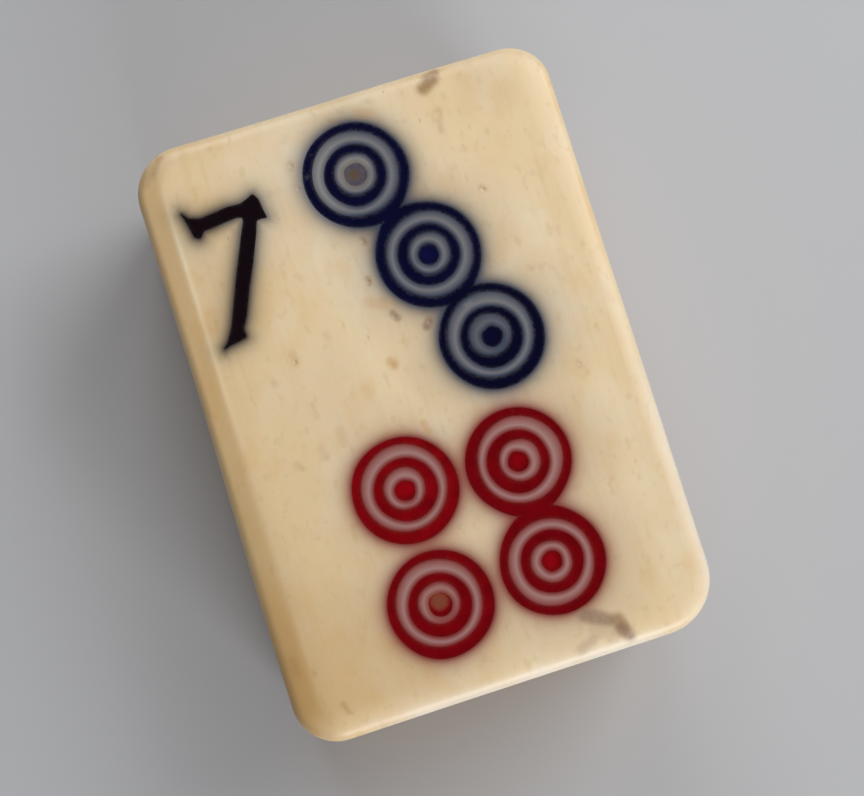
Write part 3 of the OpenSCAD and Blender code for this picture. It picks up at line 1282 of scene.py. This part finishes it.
        # Painted shade: the left facet and the left side, turned from the light, are darkened with the age
        # tint.
        left_facet_shade = 0.3 * facing(out)[2] * (1 - smooth(1.0, 1.5, inset))
        left_side_shade = smooth(1.5, 8.5, -x) * (0.22 + 0.12 * low_part - 0.12 * top_part)
        top_left = 0.15 * smooth(6.5, 9.5, -x) * smooth(6.0, 12.0, y)
        low_left = 0.2 * smooth(5.0, 11.0, -y) * smooth(-1.0, 6.0, -x)
        right_part = 0.06 * smooth(4.0, 7.0, x)
        age_and_shade = rim + left_facet_shade + left_side_shade + top_left + low_left + right_part
        # Age and shade are lifted along the left crease and the lower rim, where highlights are painted.
        amount[:, 1] = age_and_shade * (1 - 0.9 * self.crease(points)) * (1 - 0.6 * self.low_rim(points, 1.9))
        return amount

    def low_rim(self, points: np.ndarray, width: float) -> np.ndarray:
        """Tells the rounded rim of the lower end, where a highlight is painted, from 1 on it to 0 at its
        width.
        """
        inset, out = self.form.inset(points)
        return facing(out)[3] * (1 - smooth(0.0, width, inset))

    def crease(self, points: np.ndarray) -> np.ndarray:
        """Tells the worn crease along the upper half of the left side, where a highlight is painted.

        Args:
            points: Points in the plane of the face.

        Returns:
            For each point 1 on the crease, falling to 0 away from it.
        """
        inset, out = self.form.inset(points)
        along = smooth(-1.0, 4.0, points[:, 1]) * smooth(-13.0, -10.0, -points[:, 1])
        near = np.exp(-((inset - self.form.left_high.reach) / 0.1) ** 2)
        return facing(out)[2] ** 2 * along * near

    def painted_highlights(self, points: np.ndarray) -> np.ndarray:
        """Gives the painted highlights along the left crease, on the lower end and on the right side's lower
        half.

        Args:
            points: Points in the plane of the face.

        Returns:
            From 0 to 1 for each point.
        """
        inset, out = self.form.inset(points)
        x, y = points.T
        # Each part's strength, and the places in millimetres between which it comes or goes.
        low = 0.55 * self.low_rim(points, 0.75) * smooth(-7.5, -4.0, x) * smooth(-8.5, -6.0, -x)
        right = 0.5 * facing(out)[0] * smooth(-6.0, 8.0, -y) * (1 - smooth(0.0, 1.1, inset))
        return np.maximum(0.07 * self.crease(points), low + right)

    def spread(self, step: float) -> np.ndarray:
        """Spreads points over the face in a grid of triangles.

        Args:
            step: The distance between points.

        Returns:
            The points that lie inside the worn border.
        """
        half = self.form.half
        rows = np.arange(-half[1], half[1], step * math.sqrt(0.75))
        x, y = np.meshgrid(np.arange(-half[0], half[0], step), rows)
        x = x + (np.arange(len(rows)) % 2 * step / 2)[:, None]
        spots = np.c_[x.ravel(), y.ravel()]
        return spots[self.form.within(spots) > self.border_clear]

    def face_sheet(self, edge: np.ndarray) -> tuple[np.ndarray, list, np.ndarray]:
        """Builds the engraved face inside its border.

        Args:
            edge: The line where the border starts.

        Returns:
            The points, the triangles, and the numbers of the points along the edge.
        """
        sheet = Sheet()
        rim = sheet.add_line(edge)
        self.engraving.add_to(sheet, self.form)
        for pit in self.pits:
            angle = np.linspace(0, TURN, self.pit_points, endpoint=False)
            for share in self.pit_steps:
                ring = np.c_[np.cos(angle), np.sin(angle)] * pit.radius * share
                sheet.add_loose(np.array([pit.x, pit.y]) + ring)
        coarse, fine = self.spread(self.grid), self.spread(self.fine_grid)
        fine = fine[self.stained(fine)[:, :3].max(axis=1) > self.faint]
        coarse = coarse[self.stained(coarse)[:, :3].max(axis=1) <= self.faint]
        for spots, least in ((coarse, self.grid_clear), (fine, self.fine_clear)):
            clear = self.engraving.distance(spots) > least
            for pit in self.pits:
                away = np.linalg.norm(spots - np.array([pit.x, pit.y]), axis=1)
                clear &= away > self.pit_clear * pit.radius
            sheet.add_loose(spots[clear])
        flat, triangles, place = sheet.join()
        z = self.form.face_height(flat) - self.engraving.sunk(flat) - self.pitted(flat)
        return np.c_[flat, z], triangles.tolist(), place[rim]

    def blank(self) -> bpy.types.Object:
        """Builds the whole tile as one closed form, engraved but not yet parted.

        Returns:
            The tile, in millimetres.
        """
        form = self.form
        line, out = form.rim()
        shy = form.pulled(line, out)[:, None] * out
        margin = form.margin(out)
        points, faces, last = self.face_sheet(line - margin[:, None] * out)
        stack = [points]
        rings = []
        for share in self.border_steps:
            flat = line - share * margin[:, None] * out - shy * (1 - share)
            rings.append(np.c_[flat, form.height(flat, share * margin, out)])
        at = line - shy
        top = rings[-1][:, 2]
        for step in range(1, self.wall_steps + 1):
            rings.append(np.c_[at, top + (form.back_r - top) * step / self.wall_steps])
        for step in range(1, self.round_steps + 1):
            angle = step / self.round_steps * TURN / 4
            flat = at - form.back_r * (1 - math.cos(angle)) * out
            rings.append(np.c_[flat, np.full(len(line), form.back_r * (1 - math.sin(angle)))])
        count = len(points)
        for ring in rings:
            new = np.arange(count, count + len(ring))
            faces += np.c_[last, np.roll(last, -1), np.roll(new, -1), new].tolist()
            stack.append(ring)
            count += len(ring)
            last = new
        faces.append(last.tolist())
        return make_mesh("tile_blank", np.concatenate(stack), faces)

    def joint_line(self, skin: float) -> list[tuple[float, float]]:
        """Draws the joint across the tile, from left to right.

        Args:
            skin: How far the line is moved down into the bamboo.

        Returns:
            The line's points across the tile, each a place and a height.
        """
        lean = math.tan(math.radians(self.flare))
        aside = skin / math.cos(math.radians(self.flare))
        wide = 2 * self.form.half[0]
        neck = self.neck_w / 2 + skin * lean + aside
        tail = self.neck_w / 2 + (self.shoulder_z - self.tail_z + skin) * lean + aside
        high, low = self.shoulder_z - skin, self.tail_z - skin
        return [(-wide, high), (-neck, high), (-tail, low), (tail, low), (neck, high), (wide, high)]

    def part(
        self, blank: bpy.types.Object, name: str, outline: list[tuple[float, float]]
    ) -> bpy.types.Object:
        """Cuts one piece out of the blank.

        Args:
            blank: The whole tile.
            name: The piece's name.
            outline: The outline across the tile that the piece lies within.

        Returns:
            The piece.
        """
        length = 2 * self.form.half[1]
        count = len(outline)
        ends = [np.array([(x, y, z) for x, z in outline]) for y in (-length, length)]
        faces = [list(range(count)), list(range(count, 2 * count))]
        faces += [[i, (i + 1) % count, count + (i + 1) % count, count + i] for i in range(count)]
        zone = make_mesh("zone", np.concatenate(ends), faces)
        piece = bpy.data.objects.new(name, blank.data.copy())
        bpy.context.scene.collection.objects.link(piece)
        trim = piece.modifiers.new("part", "BOOLEAN")
        trim.operation = "INTERSECT"
        trim.solver = "MANIFOLD"
        trim.object = zone
        view = bpy.context.evaluated_depsgraph_get()
        mesh = bpy.data.meshes.new_from_object(piece.evaluated_get(view))
        piece.modifiers.clear()
        piece.data = mesh
        mesh.name = name
        if len(mesh.vertices) in (0, len(blank.data.vertices)):
            raise RuntimeError(f"{name} wasn't parted from the blank")
        bpy.data.objects.remove(zone)
        return piece

    def build(self) -> None:
        """Builds the blank and parts it along the joint."""
        blank = self.blank()
        wide = 2 * self.form.half[0]
        over, under = self.form.thick + self.spare, -self.spare
        bone_line, bamboo_line = self.joint_line(0.0), self.joint_line(self.glue)
        bone_zone = [*bone_line, (wide, over), (-wide, over)]
        bamboo_zone = [*bamboo_line, (wide, under), (-wide, under)]
        glue_zone = [*bone_line, *bamboo_line[::-1]]
        self.pieces = {
            "bone_face": self.part(blank, "bone_face_plate", bone_zone),
            "bamboo_back": self.part(blank, "bamboo_back_block", bamboo_zone),
            "glue_film": self.part(blank, "glue_line", glue_zone),
        }
        bpy.data.objects.remove(blank)

    def dress(self) -> None:
        """Marks the stains, the painted shade and the painted highlights on the bone, and gives each piece
        its finish and place.
        """
        bone = self.pieces["bone_face"].data
        flat = points_of(bone)[:, :2]
        start, full = (self.form.thick - depth for depth in self.stain_depths)
        high = smooth(start, full, points_of(bone)[:, 2])[:, None]
        bleed = self.engraving.bleed(flat)
        # The painted highlights go into the pale channel, with the films on the ridges.
        bleed[:, 3] = np.maximum(bleed[:, 3], self.painted_highlights(flat))
        store(bone, "bleed", bleed * high)
        store(bone, "stain", self.stained(flat) * high)
        store(bone, "wash", self.washed(flat) * high)
        # Each node's slot and finish, and the angle from which its edges stay sharp.
        finishes = {
            "bone_face": ("bone", BoneFinish(), 60.0),
            "bamboo_back": ("bamboo", BambooFinish(), 38.0),
            "glue_film": ("glue", GlueFinish(), 38.0),
        }
        for node, (slot, finish, crease) in finishes.items():
            self.pieces[node].data.materials.clear()
            self.pieces[node].data.materials.append(finish.material())
            settle(self.pieces[node], node, crease)


@dataclass(frozen=True)
class Rub:
    """A place where paint is rubbed thin or bare: its dot, place from the dot's centre, size and softness."""

    dot: str
    x: float
    y: float
    radius: float
    soft: float
    thin: float
    bare: float


@dataclass
class PaintWork:
    """The paint in every cut, each fill a body of its own with a hollow, dried top."""

    form: TileForm
    engraving: Engraving
    overlap: float = 0.012
    edge_sink: float = 0.018
    middle_sink: float = 0.035
    hollow: float = 0.09
    bottom: float = 0.47
    skin_ripple: float = 0.006
    cut_points: int = 24
    cut_offsets: tuple[float, ...] = (-0.02, -0.06, -0.12, -0.19)
    spot_offsets: tuple[float, ...] = (-0.27, -0.34, -0.41)
    numeral_offsets: tuple[float, ...] = (-0.03, -0.08, -0.14)
    crease: float = 50.0
    lip_rub: tuple[float, float] = (0.3, 1.4)
    ridge_rub: tuple[float, float] = (0.34, 1.25)
    plain_full: float = 0.35
    edge_full: float = 0.7
    spot_fade: tuple[float, float] = (0.3, 1.1)
    dot_bands: float = 5.3
    rubs: tuple[Rub, ...] = (
        Rub("blue_top", -0.05, 0.0, 0.95, 0.35, 0.5, 0.0),
        Rub("blue_top", -0.06, 0.0, 0.54, 1.0, 0.0, 1.0),
        Rub("red_lower_left", 0.02, 0.14, 0.7, 0.8, 0.95, 0.0),
        Rub("red_lower_left", 0.02, 0.08, 0.5, 1.0, 0.0, 0.8),
        Rub("blue_top", -2.2, 0.5, 0.4, 1.0, 0.32, 0.0),
        Rub("blue_top", -1.75, 1.45, 0.3, 1.0, 0.26, 0.0),
        Rub("red_upper_right", 0.42, 2.3, 0.24, 1.0, 0.36, 0.0),
        Rub("red_upper_right", -1.55, 1.6, 0.3, 1.0, 0.28, 0.0),
    )
    fills: list[tuple[bpy.types.Object, str, Pigment, np.ndarray]] = field(default_factory=list)

    def fill(
        self, node: str, pigment: Pigment,
        distance: Callable[[np.ndarray], np.ndarray], lines: list[np.ndarray],
    ) -> None:
        """Fills one cut, or a run of cuts that join.

        Args:
            node: The CAD node that the fill stands for.
            pigment: Its paint.
            distance: Measures how far points lie outside the cut.
            lines: Closed lines along the cut's edges and within it.
        """
        sheet = Sheet()
        for line in lines:
            sheet.add_line(line)
        flat, triangles, _ = sheet.join()
        middle = flat[triangles].mean(axis=1)
        kept = triangles[distance(middle) < self.overlap]
        used, kept = np.unique(kept, return_inverse=True)
        kept = kept.reshape(-1, 3)
        flat = flat[used]
        gap = distance(flat)
        depth = 1 - np.exp(np.minimum(gap, 0) / self.hollow)
        skin = self.edge_sink + (self.middle_sink - self.edge_sink) * depth
        skin += self.skin_ripple * ripple(flat, seed=5, length=0.9)
        face = self.form.face_height(flat)
        count = len(flat)
        sides = np.concatenate([kept[:, [0, 1]], kept[:, [1, 2]], kept[:, [2, 0]]])
        seen = {tuple(side) for side in sides.tolist()}
        rim = [side for side in sides.tolist() if (side[1], side[0]) not in seen]
        faces = kept.tolist() + (kept[:, ::-1] + count).tolist()
        faces += [[b, a, a + count, b + count] for a, b in rim]
        points = np.concatenate([np.c_[flat, face - skin], np.c_[flat, face - self.bottom]])
        self.fills.append((make_mesh(node + "_fill", points, faces), node, pigment, np.tile(depth, 2)))

    def cut_lines(self, dot: Dot, cut: Cut) -> list[np.ndarray]:
        """Draws the lines that shape the paint in one cut of a dot.

        Args:
            dot: The dot.
            cut: Its cut.

        Returns:
            The closed lines, along the cut's edges and within it.
        """
        inner, outer = cut.value
        count = self.cut_points * (1 + outer)
        offsets = (self.overlap, *self.cut_offsets)
        if cut is Cut.SPOT:
            offsets += self.spot_offsets
        edges = (inner, outer) if inner else (outer,)
        return [dot.line(edge, offset, count) for edge in edges for offset in offsets]

    def build(self) -> None:
        """Fills the numeral, the outer rings by their runs, the inner rings and the spots."""
        dots = self.engraving.dots
        figure = self.engraving.numeral
        lines = [figure.line(offset) for offset in (self.overlap, *self.numeral_offsets)]
        self.fill("numeral_paint", figure.pigment, figure.distance, lines)
        runs = {
            "blue_outer_rings": ("blue_top", "blue_middle", "blue_low"),
            "red_right_outer_rings": ("red_upper_right", "red_lower_right"),
            "red_upper_left_outer_ring": ("red_upper_left",),
            "red_lower_left_outer_ring": ("red_lower_left",),
        }
        for node, names in runs.items():
            run = [dots[name] for name in names]
            lines = [line for dot in run for line in self.cut_lines(dot, Cut.OUTER)]
            self.fill(
                node, run[0].pigment,
                lambda spots, run=run: np.min([dot.distance(spots, Cut.OUTER) for dot in run], axis=0), lines,
            )
        for name, dot in dots.items():
            for suffix, cut in (("_inner_ring", Cut.INNER), ("_spot", Cut.SPOT)):
                self.fill(
                    name + suffix, dot.pigment,
                    lambda spots, dot=dot, cut=cut: dot.distance(spots, cut), self.cut_lines(dot, cut),
                )

    def dress(self) -> None:
        """Marks the worn places, and gives each fill its paint and place."""
        finishes = {
            Pigment.BLUE: PaintFinish("navy_oil_paint", "#020214", "#10134C", "#726D74", "#5E4E40"),
            Pigment.RED: PaintFinish("crimson_oil_paint", "#540005", "#B00414", "#803E2E", "#7E4433"),
            Pigment.BLACK: PaintFinish("black_oil_paint", "#0C0408", "#1A0A10", "#5A5048", "#8A7454"),
        }
        materials = {pigment: finish.material() for pigment, finish in finishes.items()}
        for piece, node, pigment, depth in self.fills:
            store(piece.data, "wear", self.worn(points_of(piece.data)[:, :2], depth))
            piece.data.materials.append(materials[pigment])
            settle(piece, node, self.crease)

    def worn(self, points: np.ndarray, depth: np.ndarray) -> np.ndarray:
        """Gives how the paint is worn.

        Args:
            points: Points in the plane of the face.
            depth: How far each lies from the edges of its cut, from 0 to 1.

        Returns:
            One row for each point, of how far the paint is rubbed thin, rubbed bare, and full, and nothing.
        """
        amount = np.zeros((len(points), 4))
        lip = -self.hollow * np.log(np.maximum(1 - depth, 1e-3))
        most, fall = self.lip_rub
        amount[:, 0] = np.maximum(most - fall * lip, 0)
        # The paint is darker along the edges of a cut than in its middle.
        even = self.edge_full + (1 - self.edge_full) * depth
        amount[:, 2] = self.plain_full * even
        most, fall = self.ridge_rub
        for dot in self.engraving.dots.values():
            reach = np.linalg.norm(points - dot.centre, axis=1) / dot.band
            amount[:, 2] = np.where(reach < self.dot_bands, dot.full * even, amount[:, 2])
            amount[:, 2] += (self.plain_full + dot.vivid) * (1 - smooth(*self.spot_fade, reach))
            for cut in (Cut.INNER, Cut.OUTER):
                away = np.abs(dot.past(points, cut.value[0]))
                amount[:, 0] = np.maximum(amount[:, 0], most - fall * away)
        for rub in self.rubs:
            centre = self.engraving.dots[rub.dot].centre + np.array([rub.x, rub.y])
            near = 1 - smooth(1 - rub.soft, 1.0, np.linalg.norm(points - centre, axis=1) / rub.radius)
            amount[:, 0] = np.maximum(amount[:, 0], rub.thin * near)
            amount[:, 1] = np.maximum(amount[:, 1], rub.bare * near)
        return amount


@dataclass
class Studio:
    """A pale floor, soft lamps and the camera."""

    lens_mm: float = 75.0
    sensor_mm: float = 36.0
    camera_mm: tuple[float, float, float] = (-7.459, -5.005, 96.073)
    camera_turn_degrees: tuple[float, float, float] = (4.4642, -4.0686, -17.6591)
    floor_colour: str = "#B8B9BC"
    far_colour: str = "#BABBBD"
    air_colour: str = "#F4F6FA"
    floor_roughness: float = 0.8
    floor_m: float = 8.0
    fade_m: tuple[float, float] = (0.05, 0.22)
    air: float = 0.14
    aim_mm: tuple[float, float, float] = (0.0, 0.0, 12.7)
    # Each lamp's name, its place and size in millimetres, and its power in watts.
    lamps: tuple[tuple[str, tuple[float, float, float], float, float], ...] = (
        ("key", (171.0, 90.0, 198.0), 162.0, 0.398),
        ("low", (62.0, -375.0, 150.0), 275.0, 1.32),
        ("top", (20.0, 320.0, 220.0), 220.0, 0.524),
    )

    def seen(self, sheet: NodeSheet) -> bpy.types.NodeSocket:
        """Marks what is seen, straight on, mirrored or through something clear.

        Args:
            sheet: The node sheet that the marks are added to.

        Returns:
            The socket, which is 1 for what is seen and 0 for what only lights the tile.
        """
        rays = sheet.add("LightPath").outputs
        seen = rays["Is Camera Ray"]
        for name in ("Is Glossy Ray", "Is Transmission Ray"):
            seen = sheet.add("Math", {0: seen, 1: rays[name]}, operation="ADD", use_clamp=True).outputs[0]
        return seen

    def build(self) -> None:
        """Builds the floor, the world's light, the lamps and the camera."""
        bpy.context.scene.view_settings.view_transform = "Standard"
        self.lay_floor()
        self.fill_air()
        self.hang_lamps()
        self.set_camera()

    def lay_floor(self) -> None:
        """Lays the floor, which takes the colour of the distance away from the tile."""
        half = self.floor_m / 2
        corners = np.array([(-half, -half, 0), (half, -half, 0), (half, half, 0), (-half, half, 0)])
        floor = make_mesh("floor", corners, [[0, 1, 2, 3]])
        sheet = NodeSheet("paper_sweep")
        shader = sheet.add(
            "BsdfPrincipled", {"Base Color": linear(self.floor_colour), "Roughness": self.floor_roughness}
        )
        far = sheet.add("Emission", {"Color": linear(self.far_colour)})
        away = sheet.add("VectorMath", {0: sheet.add("TexCoord").outputs["Object"]}, operation="LENGTH")
        near, last = self.fade_m
        fade = sheet.add(
            "MapRange", {"Value": away.outputs["Value"], "From Min": near, "From Max": last},
            interpolation_type="SMOOTHSTEP",
        )
        seen = self.seen(sheet)
        share = sheet.add("Math", {0: fade.outputs[0], 1: seen}, operation="MULTIPLY", use_clamp=True)
        both = sheet.add("MixShader", {0: share.outputs[0], 1: shader.outputs[0], 2: far.outputs[0]})
        sheet.add("OutputMaterial", {"Surface": both.outputs[0]})
        floor.data.materials.append(sheet.owner)

    def fill_air(self) -> None:
        """Gives the world its soft light, and the colour in which it is seen."""
        sheet = NodeSheet("soft_air", "worlds")
        seen = self.seen(sheet)
        light = sheet.add("Background", {"Color": linear(self.air_colour), "Strength": self.air})
        far = sheet.add("Background", {"Color": linear(self.far_colour)})
        both = sheet.add("MixShader", {0: seen, 1: light.outputs[0], 2: far.outputs[0]})
        sheet.add("OutputWorld", {"Surface": both.outputs[0]})
        bpy.context.scene.world = sheet.owner

    def hang_lamps(self) -> None:
        """Hangs the lamps, each with its place, size and power, and turns them to the face."""
        aim = Vector(self.aim_mm) * MM
        for name, place, size, power in self.lamps:
            data = bpy.data.lights.new(name, "AREA")
            data.size = size * MM
            data.energy = power
            lamp = bpy.data.objects.new(name, data)
            lamp.location = Vector(place) * MM
            lamp.rotation_euler = (aim - lamp.location).to_track_quat("-Z", "Y").to_euler()
            bpy.context.scene.collection.objects.link(lamp)

    def set_camera(self) -> None:
        """Sets the camera at the photograph's viewing angle."""
        data = bpy.data.cameras.new("camera")
        data.lens = self.lens_mm
        data.sensor_width = self.sensor_mm
        data.clip_start = MM
        camera = bpy.data.objects.new("camera", data)
        camera.location = Vector(self.camera_mm) * MM
        camera.rotation_euler = [math.radians(angle) for angle in self.camera_turn_degrees]
        bpy.context.scene.collection.objects.link(camera)
        bpy.context.scene.camera = camera


def main() -> None:
    """Builds the studio, the tile's body and the paint, in that order."""
    logging.basicConfig(level=logging.INFO, format="%(message)s")
    Studio().build()
    form = TileForm()
    engraving = Engraving()
    body = TileBody(form, engraving)
    body.build()
    body.dress()
    paint = PaintWork(form, engraving)
    paint.build()
    paint.dress()


if __name__ == "__main__":
    main()
